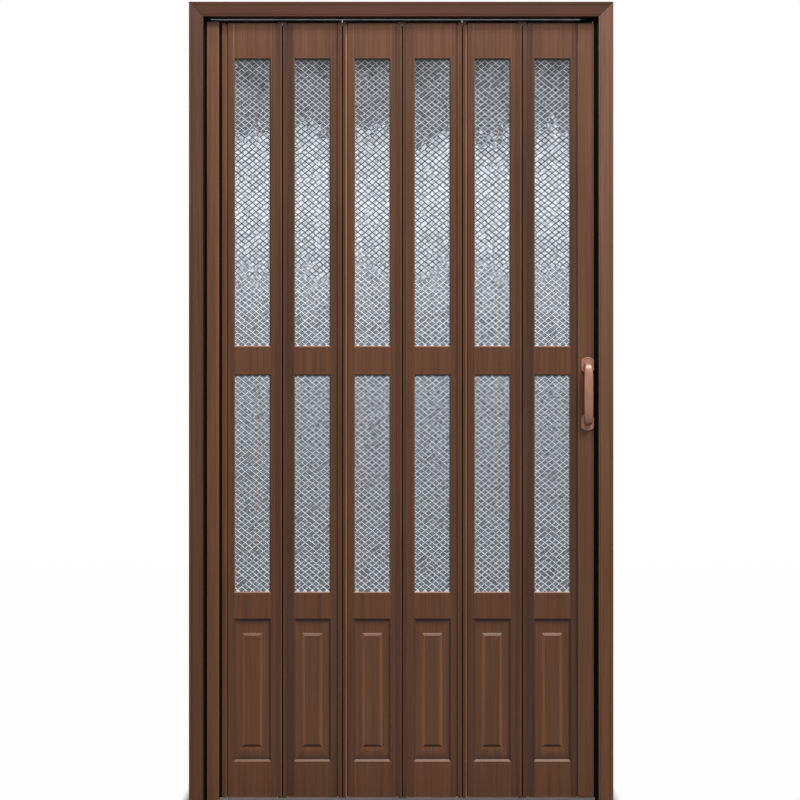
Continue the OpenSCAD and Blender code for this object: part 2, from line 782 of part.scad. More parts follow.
// A bow handle on two pads, on the -Y side of the lead post
module handle() {
    face_y = -leaf_t / 2;
    grip_y = -pull_end_y + grip_t / 2;
    half = pad_pitch / 2;
    translate([lead_pivot_x, 0, 0]) difference() {
        union() {
            at_pads() intersection() {
                translate([0, face_y, 0]) rotate([90, 0, 0]) cylinder(r = pad_r, h = pad_t);
                box([-pad_w / 2, face_y - pad_t, -pad_r], [pad_w / 2, face_y, pad_r]);
            }
            translate([handle_x, 0, handle_z]) {
                translate([0, grip_y, -half + bend_r]) linear_extrude(2 * half - 2 * bend_r) grip_shape();
                for (m = [0, 1]) mirror([0, 0, m]) {
                    translate([0, grip_y + bend_r, half - bend_r]) rotate([0, -90, 0])
                        rotate([0, 0, -90]) rotate_extrude(angle = 90)
                            translate([bend_r, 0]) rotate(90) grip_shape();
                    translate([0, face_y - pad_t / 2, half]) rotate([90, 0, 0])
                        linear_extrude(face_y - pad_t / 2 - grip_y - bend_r) grip_shape();
                }
            }
        }
        at_pads() rotate([90, 0, 0]) cylinder(r = bolt_r + round_gap, h = leaf_t / 2 + bolt_depth);
    }
}

module front_handle() {
    color(copper) handle();
}

module rear_handle() {
    color(copper) mirror([0, 1, 0]) handle();
}

module handle_bolts() {
    color(metal) translate([lead_pivot_x, 0, 0]) at_pads() rotate([90, 0, 0])
        cylinder(r = bolt_r, h = leaf_t + 2 * bolt_depth, center = true);
}

left_jamb();
right_jamb();
head_jamb();
corner_keys();
head_track();
fixing_screws();
wall_channel();
end_post();
starter_strip();
strike_strip();
for (n = [1:slat_count]) {
    slat(n);
    beads(n);
    panes(n);
    field(n);
    slat_caps(n);
}
for (n = [1:slat_count - 1]) {
    strip(n);
    strip_caps(n);
}
for (n = [2:2:slat_count - 2])
    strip_hanger(n);
lead_post();
lead_caps();
lead_seal();
lead_hanger();
front_handle();
rear_handle();
handle_bolts();
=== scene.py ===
# Accordion folding door in a mitred casing: foil finishes, patterned glass, bow handles and small fittings
import bmesh
import bpy
import math
from mathutils import Matrix, Vector, noise


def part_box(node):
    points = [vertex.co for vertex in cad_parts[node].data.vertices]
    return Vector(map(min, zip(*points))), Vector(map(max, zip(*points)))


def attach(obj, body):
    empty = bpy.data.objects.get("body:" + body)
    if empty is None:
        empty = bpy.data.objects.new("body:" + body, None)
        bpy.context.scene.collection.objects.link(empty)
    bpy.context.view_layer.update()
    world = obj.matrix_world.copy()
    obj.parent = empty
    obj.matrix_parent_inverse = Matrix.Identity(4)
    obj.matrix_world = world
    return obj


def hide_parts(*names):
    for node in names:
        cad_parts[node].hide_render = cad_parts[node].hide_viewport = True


# noise_vector takes its offsets from this seed, and from the clock when there is none
noise.seed_set(7)
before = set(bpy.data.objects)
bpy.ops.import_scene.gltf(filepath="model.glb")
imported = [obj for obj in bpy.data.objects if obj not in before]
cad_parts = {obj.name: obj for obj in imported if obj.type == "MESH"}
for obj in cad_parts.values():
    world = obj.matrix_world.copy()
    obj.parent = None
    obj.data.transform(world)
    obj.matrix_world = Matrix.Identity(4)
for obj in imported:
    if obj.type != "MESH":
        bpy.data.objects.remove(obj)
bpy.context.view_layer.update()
print("frame loaded:", len(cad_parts), "solids' nodes")


# Node helpers

def addNode(mat, kind, inputs=None, **settings):
    item = mat.node_tree.nodes.new(kind)
    for key, value in settings.items():
        setattr(item, key, value)
    for key, value in (inputs or {}).items():
        if isinstance(value, bpy.types.NodeSocket):
            mat.node_tree.links.new(value, item.inputs[key])
        else:
            item.inputs[key].default_value = value
    return item


def newFinish(name, **constants):
    mat = bpy.data.materials.new(name)
    mat.use_nodes = True
    shader = mat.node_tree.nodes["Principled BSDF"]
    for key, value in constants.items():
        shader.inputs[key].default_value = value
    return mat, shader


def objectPoint(mat, scale=(1, 1, 1)):
    point = addNode(mat, "ShaderNodeTexCoord")
    return addNode(mat, "ShaderNodeMapping", {"Vector": point.outputs["Object"], "Scale": scale}).outputs["Vector"]


def noiseValue(mat, vector, scale, detail=2.0, roughness=0.5, distortion=0.0):
    return addNode(mat, "ShaderNodeTexNoise", {"Vector": vector, "Scale": scale, "Detail": detail,
                                               "Roughness": roughness, "Distortion": distortion}).outputs["Fac"]


def maths(mat, operation, *values):
    return addNode(mat, "ShaderNodeMath", dict(enumerate(values)), operation=operation).outputs[0]


def mapped(mat, value, low, high, newLow, newHigh):
    return addNode(mat, "ShaderNodeMapRange", {"Value": value, "From Min": low, "From Max": high,
                                               "To Min": newLow, "To Max": newHigh}).outputs["Result"]


def ramp(mat, value, stops):
    item = addNode(mat, "ShaderNodeValToRGB", {"Fac": value})
    while len(item.color_ramp.elements) < len(stops):
        item.color_ramp.elements.new(0.5)
    for element, (place, colour) in zip(item.color_ramp.elements, stops):
        element.position = place
        element.color = (*colour, 1)
    return item.outputs["Color"]


def blendColours(mat, amount, first, second, mode="MIX"):
    item = addNode(mat, "ShaderNodeMix", {"Factor": amount}, data_type="RGBA", blend_type=mode)
    for socket, value in ((item.inputs[6], first), (item.inputs[7], second)):
        if isinstance(value, bpy.types.NodeSocket):
            mat.node_tree.links.new(value, socket)
        else:
            socket.default_value = (*value, 1)
    return item.outputs[2]


def setBump(mat, shader, height, strength, distance):
    bump = addNode(mat, "ShaderNodeBump", {"Height": height, "Strength": strength, "Distance": distance})
    mat.node_tree.links.new(bump.outputs["Normal"], shader.inputs["Normal"])


def join(mat, socket, shader, name):
    mat.node_tree.links.new(socket, shader.inputs[name])


# Wood-grain foil on the casing, posts, slats and strips

foil = {
    "colour": (0.112, 0.043, 0.019),
    "shadeAndJoint": (0.0025, 0.0016, 0.0012),     # dark colour for painted shade deep in grooves and gaps, and for the mitre joints
    "darkShare": 0.66,        # darkest grain as a share of the colour
    "lightShare": 1.34,
    "streakScale": 230.0,     # streaks per metre across the grain
    "fibreScale": 950.0,
    "bandScale": 30.0,
    "stretch": 0.012,         # scale along the grain as a share of the scale across it
    "poreShare": 0.35,        # how much of a pore's own darkness shows
    "poreTone": 0.4,
    "roughness": (0.34, 0.46),
    "gloss": 0.25,
    "bumpHeight": 0.00022,    # metres
}


def grainScale(along, stretch):
    return {"X": (stretch, 1, 1), "Z": (1, 1, stretch)}[along]


def placeOf(mat):
    return addNode(mat, "ShaderNodeSeparateXYZ", {"Vector": objectPoint(mat)}).outputs


def woodFoil(name, shade=(1, 1, 1), along="Z", shadeMap=None, darkMap=None, gloss=foil["gloss"]):
    mat, shader = newFinish(name)
    shader.inputs["Specular IOR Level"].default_value = gloss
    lengthwise = objectPoint(mat, grainScale(along, foil["stretch"]))
    wavy = objectPoint(mat, grainScale(along, foil["stretch"] * 6))
    streaks = noiseValue(mat, lengthwise, foil["streakScale"], 3.0, 0.6)
    fibres = noiseValue(mat, lengthwise, foil["fibreScale"], 2.0, 0.6)
    bands = noiseValue(mat, wavy, foil["bandScale"], 3.0, 0.5, 0.4)
    pores = noiseValue(mat, objectPoint(mat, grainScale(along, foil["stretch"] * 3)), foil["fibreScale"] * 1.5, 1.0)
    grain = maths(mat, "MULTIPLY_ADD", fibres, 0.22, maths(mat, "MULTIPLY", bands, 0.28))
    grain = maths(mat, "MULTIPLY_ADD", streaks, 0.5, grain)
    tone = [c * s for c, s in zip(foil["colour"], shade)]
    dark = [c * foil["darkShare"] for c in tone]
    light = [c * foil["lightShare"] for c in tone]
    colour = ramp(mat, grain, [(0.34, dark), (0.50, tone), (0.68, light)])
    poreMask = mapped(mat, pores, 0.66, 0.74, 0.0, foil["poreShare"])
    colour = blendColours(mat, poreMask, colour, [c * foil["poreTone"] for c in tone])
    if shadeMap:
        colour = blendColours(mat, 1.0, colour, shadeMap(mat), "MULTIPLY")
    # Painted shade: the dark colour goes where darkMap marks grooves, gaps and the reveal in shade, and on the mitre
    # joint lines
    if darkMap:
        colour = blendColours(mat, darkMap(mat), colour, foil["shadeAndJoint"])
    join(mat, colour, shader, "Base Color")
    join(mat, mapped(mat, streaks, 0.3, 0.7, *foil["roughness"]), shader, "Roughness")
    relief = maths(mat, "SUBTRACT", grain, maths(mat, "MULTIPLY", poreMask, 0.5))
    setBump(mat, shader, relief, 0.5, foil["bumpHeight"])
    return mat


def greyOf(mat, value):
    return addNode(mat, "ShaderNodeCombineColor", {"Red": value, "Green": value, "Blue": value}).outputs["Color"]


# A slat's stiles are a little darker than its rails
slatTones = {
    "leftStile": (0.80, 0.83, 0.86),
    "rightStile": (0.80, 0.82, 0.84),
    "outerShade": (0.61, 0.63, 0.65),     # painted shade on the right stile beyond its second score, where it slopes away from the light
    "outerFrom": 0.0610,      # metres from the slat's middle
    "neckFrom": 0.0655,       # likewise, of the thin neck that runs into the hinge
    "neckDepth": 0.0045,
    # painted light that lifts the shade on the thin necks in the hinge gaps
    "neckPaintedLight": (4.3, 4.8, 5.4),
    "firstNeck": 0.42,        # the first slat's left neck lies in a wider gap and takes less of that painted light
    "handleShadow": 0.76,        # painted shadow of the handle on the last slat's right stile, beside the lead post
    "lastSlat": 5,
    "deepStile": 0.62,        # every fourth left stile is from a darker roll
    "scoreHighlight": (0.45, 1.7),     # painted highlight on the foil's scores, low down and at the top
    "scoreHeights": (1.80, 2.03),
    "scoreWidth": 0.0020,
    "spread": 0.07,           # of the slats' tones
}
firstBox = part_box("panel_1_field")
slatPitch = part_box("panel_2_field")[0].x - firstBox[0].x
firstCentre = (firstBox[0].x + firstBox[1].x) / 2
railHalf = (firstBox[1].x - firstBox[0].x) / 2


# The foil's painted light by height: darker towards the floor as if lit from above, and for the leaf a painted lift of
# light at its top, where it stands in the head's shadow; the end post is darker again at its top
shadedHeight = 2.05     # metres
leafLightByHeight = [(0.0, (0.74, 0.74, 0.68)), (0.5, (0.84, 0.86, 0.82)), (0.8, (0.92, 0.95, 0.96)),
             (0.981, (1.00, 1.06, 1.18)), (0.9865, (1.28, 1.35, 1.50)), (0.992, (2.25, 2.38, 2.60))]
endPostLightByHeight = [(0.0, (0.74, 0.74, 0.68)), (0.5, (0.86, 0.88, 0.84)), (0.85, (0.98, 1.01, 1.04)),
                (0.95, (0.92, 0.97, 1.06)), (0.975, (0.78, 0.84, 0.95)), (1.0, (0.80, 0.86, 0.97))]


def paintedLightByHeight(mat, tones=leafLightByHeight):
    return ramp(mat, mapped(mat, placeOf(mat)["Z"], 0.0, shadedHeight, 0.0, 1.0), tones)


def acrossSlat(mat):
    fromFirst = maths(mat, "SUBTRACT", placeOf(mat)["X"], firstCentre)
    return fromFirst, maths(mat, "WRAP", fromFirst, slatPitch / 2, -slatPitch / 2)


def nearMiddle(mat, depth):
    return maths(mat, "LESS_THAN", maths(mat, "ABSOLUTE", placeOf(mat)["Y"]), depth)


# The pressed field: painted light and shade by the distance in metres from each of its edges: painted shade under the
# recess's top and right edges and in a band above its foot, painted highlights on its lower edge, just below the raised
# field and on that field's top and side bevels, and painted shade on its lower bevel
paintedFieldLight = {
    "gaps": {"left": 0.022, "right": 0.022, "top": 0.038, "low": 0.038},     # from the opening to the raised field
    "ground": {
        "left": [(0.0, 0.85), (0.0026, 0.65), (0.0045, 0.80), (0.0062, 1.08), (0.022, 1.02)],
        "right": [(0.0, 0.38), (0.0026, 0.42), (0.0045, 0.60), (0.0062, 0.85), (0.010, 0.95), (0.022, 1.03)],
        "top": [(0.0, 0.70), (0.0025, 0.38), (0.004, 0.24), (0.0062, 0.18), (0.0085, 0.42), (0.0115, 0.70),
                (0.016, 0.92), (0.022, 1.0)],
        "low": [(0.0, 1.3), (0.0028, 1.75), (0.0048, 1.6), (0.0060, 0.6), (0.0075, 0.36), (0.010, 0.55),
                (0.0155, 0.80), (0.0235, 1.02), (0.030, 1.22), (0.038, 1.5)],
    },
    "bevel": 0.007,
    "bevels": {"left": (1.90, 2.02, 2.14), "right": (1.60, 1.70, 1.80), "top": (1.45, 1.56, 1.68),
               "low": (0.56, 0.56, 0.56)},
}


def smallest(mat, values):
    least = values[0]
    for value in values[1:]:
        least = maths(mat, "MINIMUM", least, value)
    return least


def levelBy(mat, distance, stops):
    reach = stops[-1][0]
    share = mapped(mat, distance, 0.0, reach, 0.0, 1.0)
    return ramp(mat, share, [(at / reach, (level, level, level)) for at, level in stops])


def fieldPaintedLight(mat):
    across, height = acrossSlat(mat)[1], placeOf(mat)["Z"]
    low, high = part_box("panel_1_field")
    away = {"left": maths(mat, "ADD", across, railHalf), "right": maths(mat, "SUBTRACT", railHalf, across),
            "top": maths(mat, "SUBTRACT", high.z, height), "low": maths(mat, "SUBTRACT", height, low.z)}
    share = {side: maths(mat, "DIVIDE", away[side], paintedFieldLight["gaps"][side]) for side in away}
    inner = {side: maths(mat, "SUBTRACT", away[side], paintedFieldLight["gaps"][side]) for side in away}
    nearest, deepest = smallest(mat, list(share.values())), smallest(mat, list(inner.values()))
    onGround = maths(mat, "LESS_THAN", nearest, 1.0)
    onBevel = maths(mat, "MULTIPLY", maths(mat, "GREATER_THAN", deepest, 0.0),
                    maths(mat, "LESS_THAN", deepest, paintedFieldLight["bevel"]))
    shade = paintedLightByHeight(mat)
    for side in away:
        mask = maths(mat, "MULTIPLY", onGround, maths(mat, "COMPARE", share[side], nearest, 1e-5))
        shade = blendColours(mat, mask, shade, levelBy(mat, away[side], paintedFieldLight["ground"][side]), "MULTIPLY")
        mask = maths(mat, "MULTIPLY", onBevel, maths(mat, "COMPARE", inner[side], deepest, 1e-6))
        shade = blendColours(mat, mask, shade, paintedFieldLight["bevels"][side], "MULTIPLY")
    return shade


def stileTonesAndPaintedLight(mat):
    fromFirst, across = acrossSlat(mat)
    index = maths(mat, "ROUND", maths(mat, "DIVIDE", fromFirst, slatPitch))
    chance = addNode(mat, "ShaderNodeTexWhiteNoise", {"W": index}, noise_dimensions="1D").outputs["Value"]
    level = mapped(mat, chance, 0.0, 1.0, 1 - slatTones["spread"] / 2, 1 + slatTones["spread"] / 2)
    # Painted highlight along the scores between rails and stiles, stronger at the top
    aside = maths(mat, "SUBTRACT", maths(mat, "ABSOLUTE", across), railHalf + slatTones["scoreWidth"] / 2)
    onScore = maths(mat, "LESS_THAN", maths(mat, "ABSOLUTE", aside), slatTones["scoreWidth"] / 2)
    highlight = mapped(mat, placeOf(mat)["Z"], *slatTones["scoreHeights"], *slatTones["scoreHighlight"])
    level = maths(mat, "MULTIPLY", level, maths(mat, "MULTIPLY_ADD", onScore, highlight, 1.0))
    fourth = maths(mat, "COMPARE", maths(mat, "MODULO", index, 4.0), 1.0, 0.1)
    leftLevel = maths(mat, "MULTIPLY_ADD", fourth, slatTones["deepStile"] - 1, 1.0)
    leftShade = blendColours(mat, 1.0, slatTones["leftStile"], greyOf(mat, leftLevel), "MULTIPLY")
    shade = blendColours(mat, maths(mat, "LESS_THAN", across, -railHalf), (1, 1, 1), leftShade)
    shade = blendColours(mat, maths(mat, "GREATER_THAN", across, railHalf), shade, slatTones["rightStile"])
    # Painted shade on the outer part of each right stile
    shade = blendColours(mat, maths(mat, "GREATER_THAN", across, slatTones["outerFrom"]), shade, slatTones["outerShade"])
    # Painted shadow of the handle on the last slat's right stile
    onLast = maths(mat, "MULTIPLY", maths(mat, "COMPARE", index, slatTones["lastSlat"], 0.1),
                   maths(mat, "GREATER_THAN", across, railHalf))
    shade = blendColours(mat, onLast, shade, [slatTones["handleShadow"]] * 3, "MULTIPLY")
    # Painted light: the necks in the hinge gaps are lightened against their shade
    inside = nearMiddle(mat, slatTones["neckDepth"])
    atEdge = maths(mat, "GREATER_THAN", maths(mat, "ABSOLUTE", across), slatTones["neckFrom"])
    onNeck = maths(mat, "MULTIPLY", inside, atEdge)
    shade = blendColours(mat, onNeck, shade, slatTones["neckPaintedLight"], "MULTIPLY")
    onFirst = maths(mat, "MULTIPLY", onNeck, maths(mat, "LESS_THAN", fromFirst, 0.0))
    onFirst = maths(mat, "MULTIPLY", onFirst, maths(mat, "COMPARE", index, 0.0, 0.1))
    shade = blendColours(mat, onFirst, shade, [slatTones["firstNeck"]] * 3, "MULTIPLY")
    shade = blendColours(mat, 1.0, shade, greyOf(mat, level), "MULTIPLY")
    return blendColours(mat, 1.0, shade, paintedLightByHeight(mat), "MULTIPLY")


# Painted shade deep in the strips' grooves and on the starter strip's side
stripTones = {
    "colour": (0.62, 0.64, 0.67),
    "span": 0.016,            # metres between a strip's two hinge lines
    "shadeDepth": 0.0047,      # of the painted shade, from the hinge lines' plane
    "shadeHalf": 0.0034,       # half its width
    "lip": (-0.0040, -0.0014),     # the groove's left lip, from the strip's middle
    # painted highlight on that lip
    "lipHighlight": 1.5,
}
starter = {"shadeDepth": 0.0052, "shadeEnd": 0.0050}
firstStrip = (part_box("strip_1")[0].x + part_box("strip_1")[1].x) / 2
firstPivot = firstCentre - (slatPitch - stripTones["span"]) / 2


def acrossStrip(mat):
    return maths(mat, "WRAP", maths(mat, "SUBTRACT", placeOf(mat)["X"], firstStrip), slatPitch / 2, -slatPitch / 2)


def paintedShadeInGroove(mat):
    inGroove = maths(mat, "LESS_THAN", maths(mat, "ABSOLUTE", acrossStrip(mat)), stripTones["shadeHalf"])
    return maths(mat, "MULTIPLY", inGroove, nearMiddle(mat, stripTones["shadeDepth"]))


def paintedShadeAtStarter(mat):
    atEnd = maths(mat, "LESS_THAN", placeOf(mat)["X"], firstPivot - starter["shadeEnd"])
    return maths(mat, "MULTIPLY", atEnd, nearMiddle(mat, starter["shadeDepth"]))


def stripPaintedLight(mat):
    across = acrossStrip(mat)
    onLip = maths(mat, "MULTIPLY", maths(mat, "GREATER_THAN", across, stripTones["lip"][0]),
                  maths(mat, "LESS_THAN", across, stripTones["lip"][1]))
    highlight = maths(mat, "MULTIPLY_ADD", onLip, stripTones["lipHighlight"], 1.0)
    return blendColours(mat, 1.0, paintedLightByHeight(mat), greyOf(mat, highlight), "MULTIPLY")


# Painted highlights: a pale line along each edge of the end post's face
postHighlights = {"left": (0.0020, 0.0046), "right": (0.0008, 0.0050), "glints": (0.22, 0.45)}


def postPaintedLight(mat):
    low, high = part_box("end_post")
    place = placeOf(mat)["X"]
    highlight = 1.0
    for side, level in (("left", postHighlights["glints"][0]), ("right", postHighlights["glints"][1])):
        away = maths(mat, "SUBTRACT", place, low.x) if side == "left" else maths(mat, "SUBTRACT", high.x, place)
        near, far = postHighlights[side]
        onLine = maths(mat, "MULTIPLY", maths(mat, "GREATER_THAN", away, near), maths(mat, "LESS_THAN", away, far))
        highlight = maths(mat, "MULTIPLY_ADD", onLine, level, highlight)
    return blendColours(mat, 1.0, paintedLightByHeight(mat, endPostLightByHeight), greyOf(mat, highlight), "MULTIPLY")


# The mitres show as hairlines from the opening's corners to the outer corners
openingCorner = Vector((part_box("right_jamb")[0].x, 0,
                        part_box("head_jamb")[1].z - (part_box("right_jamb")[1].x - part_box("right_jamb")[0].x)))
hairline = {"width": 0.0011, "strength": 0.8, "foot": -0.001}


def mitreLine(mat):
    place = placeOf(mat)
    side = maths(mat, "SUBTRACT", maths(mat, "ABSOLUTE", place["X"]), openingCorner.x)
    rise = maths(mat, "SUBTRACT", place["Z"], openingCorner.z)
    away = maths(mat, "ABSOLUTE", maths(mat, "SUBTRACT", side, rise))
    near = maths(mat, "LESS_THAN", away, hairline["width"])
    onMitre = maths(mat, "MULTIPLY", near, maths(mat, "GREATER_THAN", rise, hairline["foot"]))
    return maths(mat, "MULTIPLY", onMitre, hairline["strength"])


def mitreAndShadedReveal(mat):
    # Painted shade on the left jamb's reveal, as well as the mitre line
    inner = maths(mat, "GREATER_THAN", placeOf(mat)["X"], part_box("left_jamb")[1].x - hairline["width"])
    return maths(mat, "MAXIMUM", mitreLine(mat), inner)


# Tones of the fixed parts and the lead post, as shares of the foil's colour
casingTones = {
    "starter": (1.15, 1.25, 1.45),
    "starterGloss": 0.04,
    "endPost": (1.13, 1.13, 1.17),
    "leadPost": (1.08, 1.12, 1.20),
    "leftJamb": ((0.64, 0.66, 0.64), (0.72, 0.86, 1.15)),       # low down and at the top
    "rightJamb": ((0.95, 0.98, 1.00), (1.42, 1.80, 2.80)),
    "jambHeights": (0.6, 2.1),
    "head": (0.53, 0.45, 0.34),
}


# Painted light: a jamb is paler and bluer near its top, a painted sheen from above
def paintedSheenByHeight(low, high):
    def shades(mat):
        place = mapped(mat, placeOf(mat)["Z"], *casingTones["jambHeights"], 0.0, 1.0)
        return ramp(mat, place, [(0.0, low), (1.0, high)])
    return shades


slatFoil = woodFoil("slatFoil", shadeMap=stileTonesAndPaintedLight)
fieldFoil = woodFoil("fieldFoil", shadeMap=fieldPaintedLight)
stripFoil = woodFoil("stripFoil", stripTones["colour"], shadeMap=stripPaintedLight, darkMap=paintedShadeInGroove)
starterFoil = woodFoil("starterFoil", casingTones["starter"], shadeMap=paintedLightByHeight, darkMap=paintedShadeAtStarter,
                       gloss=casingTones["starterGloss"])
endPostFoil = woodFoil("endPostFoil", casingTones["endPost"], shadeMap=postPaintedLight)
leadPostFoil = woodFoil("leadPostFoil", casingTones["leadPost"], shadeMap=paintedLightByHeight)
leftJambFoil = woodFoil("leftJambFoil", shadeMap=paintedSheenByHeight(*casingTones["leftJamb"]), darkMap=mitreAndShadedReveal)
rightJambFoil = woodFoil("rightJambFoil", shadeMap=paintedSheenByHeight(*casingTones["rightJamb"]), darkMap=mitreLine)
headFoil = woodFoil("headFoil", casingTones["head"], along="X", darkMap=mitreLine)
print("foil finishes made")


# Trim, seals and metals

trim = {"colour": (0.105, 0.048, 0.029), "mottleScale": 320.0, "roughness": (0.34, 0.46)}
darkPlastic = {"colour": (0.0028, 0.0026, 0.0024), "mottleScale": 500.0, "roughness": (0.55, 0.75)}
aluminium = {"colour": (0.38, 0.38, 0.37), "drawScale": 1400.0, "roughness": (0.28, 0.42)}
zinc = {"colour": (0.62, 0.61, 0.58), "spangleScale": 420.0, "roughness": (0.24, 0.40)}
nylon = {"colour": (0.42, 0.41, 0.39), "mottleScale": 600.0, "roughness": (0.42, 0.55)}


def mouldedPlastic(name, look, gloss=0.4, bumpHeight=0.00008, shadeMap=None):
    mat, shader = newFinish(name)
    shader.inputs["Specular IOR Level"].default_value = gloss
    mottle = noiseValue(mat, objectPoint(mat), look["mottleScale"], 4.0, 0.6)
    cloud = noiseValue(mat, objectPoint(mat), look["mottleScale"] / 14, 2.0)
    mix = maths(mat, "MULTIPLY_ADD", mottle, 0.4, maths(mat, "MULTIPLY", cloud, 0.6))
    dark = [c * 0.78 for c in look["colour"]]
    light = [c * 1.22 for c in look["colour"]]
    colour = ramp(mat, mix, [(0.35, dark), (0.65, light)])
    if shadeMap:
        colour = blendColours(mat, 1.0, colour, shadeMap(mat), "MULTIPLY")
    join(mat, colour, shader, "Base Color")
    join(mat, mapped(mat, mottle, 0.3, 0.7, *look["roughness"]), shader, "Roughness")
    setBump(mat, shader, mottle, 0.4, bumpHeight)
    return mat


# Painted light on the beads round the glass: paler on their lower and left sides, darker on their right and top sides
lights = {"lowerHeight": 0.5718, "upperHeight": 0.7558}     # metres of glass in a slat's two lights
paintedBeadLight = {"left": 1.2, "right": 0.60, "top": 0.22, "low": 1.8}
paneLow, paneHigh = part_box("panel_1_panes")


def endDistances(mat):
    height = placeOf(mat)["Z"]
    tops, feet = (paneHigh.z, paneLow.z + lights["lowerHeight"]), (paneHigh.z - lights["upperHeight"], paneLow.z)
    return [smallest(mat, [maths(mat, "ABSOLUTE", maths(mat, "SUBTRACT", height, level)) for level in levels])
            for levels in (tops, feet)]


def beadPaintedLight(mat):
    across = acrossSlat(mat)[1]
    top, foot = endDistances(mat)
    half = (paneHigh.x - paneLow.x) / 2
    side = maths(mat, "SUBTRACT", half, maths(mat, "ABSOLUTE", across))
    grey = {place: [level] * 3 for place, level in paintedBeadLight.items()}
    shade = blendColours(mat, maths(mat, "GREATER_THAN", across, 0.0), grey["left"], grey["right"])
    shade = blendColours(mat, maths(mat, "LESS_THAN", top, side), shade, grey["top"])
    return blendColours(mat, maths(mat, "LESS_THAN", foot, side), shade, grey["low"])


# Painted shadow: the head's shadow is laid black on the track's front save for its lip, which stops short of both ends
trackLip = {"height": 0.0013, "left": 0.017, "right": 0.047, "shadowColour": (0.004, 0.004, 0.004)}
trackLow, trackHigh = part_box("head_track")


def shadowAboveLip(mat):
    place = placeOf(mat)
    above = maths(mat, "GREATER_THAN", place["Z"], trackLow.z + trackLip["height"])
    leftEnd = maths(mat, "LESS_THAN", place["X"], trackLow.x + trackLip["left"])
    rightEnd = maths(mat, "GREATER_THAN", place["X"], trackHigh.x - trackLip["right"])
    return maths(mat, "MAXIMUM", above, maths(mat, "MAXIMUM", leftEnd, rightEnd))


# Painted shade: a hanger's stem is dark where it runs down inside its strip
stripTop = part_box("strip_2")[1].z


def paintedShadeOnStem(mat):
    return maths(mat, "LESS_THAN", placeOf(mat)["Z"], stripTop)


def drawnMetal(name, look, scaleKey, stretch, shadowMap=None):
    mat, shader = newFinish(name, Metallic=1.0)
    lines = noiseValue(mat, objectPoint(mat, stretch), look[scaleKey], 3.0, 0.65)
    tarnish = noiseValue(mat, objectPoint(mat), 55.0, 3.0)
    mix = maths(mat, "MULTIPLY_ADD", lines, 0.5, maths(mat, "MULTIPLY", tarnish, 0.5))
    dark = [c * 0.72 for c in look["colour"]]
    light = [min(1, c * 1.25) for c in look["colour"]]
    colour = ramp(mat, mix, [(0.35, dark), (0.65, light)])
    # Painted shadow laid over the metal
    if shadowMap:
        colour = blendColours(mat, shadowMap(mat), colour, trackLip["shadowColour"])
    join(mat, colour, shader, "Base Color")
    join(mat, mapped(mat, lines, 0.3, 0.7, *look["roughness"]), shader, "Roughness")
    setBump(mat, shader, lines, 0.3, 0.00004)
    return mat


trimPlastic = mouldedPlastic("trimPlastic", trim)
beadPlastic = mouldedPlastic("beadPlastic", trim, shadeMap=beadPaintedLight)
blackPlastic = mouldedPlastic("blackPlastic", darkPlastic, 0.05)
blackRubber = mouldedPlastic("blackRubber", dict(darkPlastic, roughness=(0.7, 0.9)), 0.05, 0.00015)
greyNylon = mouldedPlastic("greyNylon", nylon)
trackMetal = drawnMetal("trackMetal", aluminium, "drawScale", (0.01, 1, 1), shadowAboveLip)
zincSteel = drawnMetal("zincSteel", zinc, "spangleScale", (1, 1, 1))
hangerSteel = drawnMetal("hangerSteel", zinc, "spangleScale", (1, 1, 1), paintedShadeOnStem)
print("plastics and metals made")


# Satin copper-brown lacquer on the handles

lacquer = {
    "colour": (0.286, 0.114, 0.061),
    "flakeScale": 2600.0,
    "wearScale": 36.0,
    "metallic": 0.08,
    "roughness": (0.36, 0.46),
    "gloss": 1.0,
    "strapFrom": 0.0125,      # metres from the hinge lines' plane
    "strapLightByHeight": [(0.0, (0.54, 0.49, 0.43)), (0.25, (0.60, 0.55, 0.48)), (0.62, (0.98, 0.96, 0.94)),
                    (1.0, (1.04, 1.08, 1.14))],      # painted shade towards the strap's lower end and a painted sheen at its top
}


def strapPaintedLight(mat):
    place = placeOf(mat)
    low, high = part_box("front_handle")
    share = mapped(mat, place["Z"], low.z, high.z, 0.0, 1.0)
    # Painted light on the strap: darker towards its foot, paler and bluer at its top
    level = ramp(mat, share, lacquer["strapLightByHeight"])
    onStrap = maths(mat, "GREATER_THAN", maths(mat, "ABSOLUTE", place["Y"]), lacquer["strapFrom"])
    return blendColours(mat, onStrap, (1, 1, 1), level)


def handleLacquer():
    mat, shader = newFinish("copperLacquer", Metallic=lacquer["metallic"])
    shader.inputs["Specular IOR Level"].default_value = lacquer["gloss"]
    flakes = noiseValue(mat, objectPoint(mat), lacquer["flakeScale"], 2.0, 0.7)
    wear = noiseValue(mat, objectPoint(mat, (1, 1, 0.4)), lacquer["wearScale"], 4.0, 0.6, 0.5)
    mix = maths(mat, "MULTIPLY_ADD", flakes, 0.35, maths(mat, "MULTIPLY", wear, 0.65))
    dark = [c * 0.82 for c in lacquer["colour"]]
    light = [c * 1.2 for c in lacquer["colour"]]
    colour = blendColours(mat, 1.0, ramp(mat, mix, [(0.36, dark), (0.64, light)]), strapPaintedLight(mat), "MULTIPLY")
    join(mat, colour, shader, "Base Color")
    join(mat, mapped(mat, wear, 0.3, 0.7, *lacquer["roughness"]), shader, "Roughness")
    setBump(mat, shader, mix, 0.25, 0.00006)
    return mat


copperLacquer = handleLacquer()
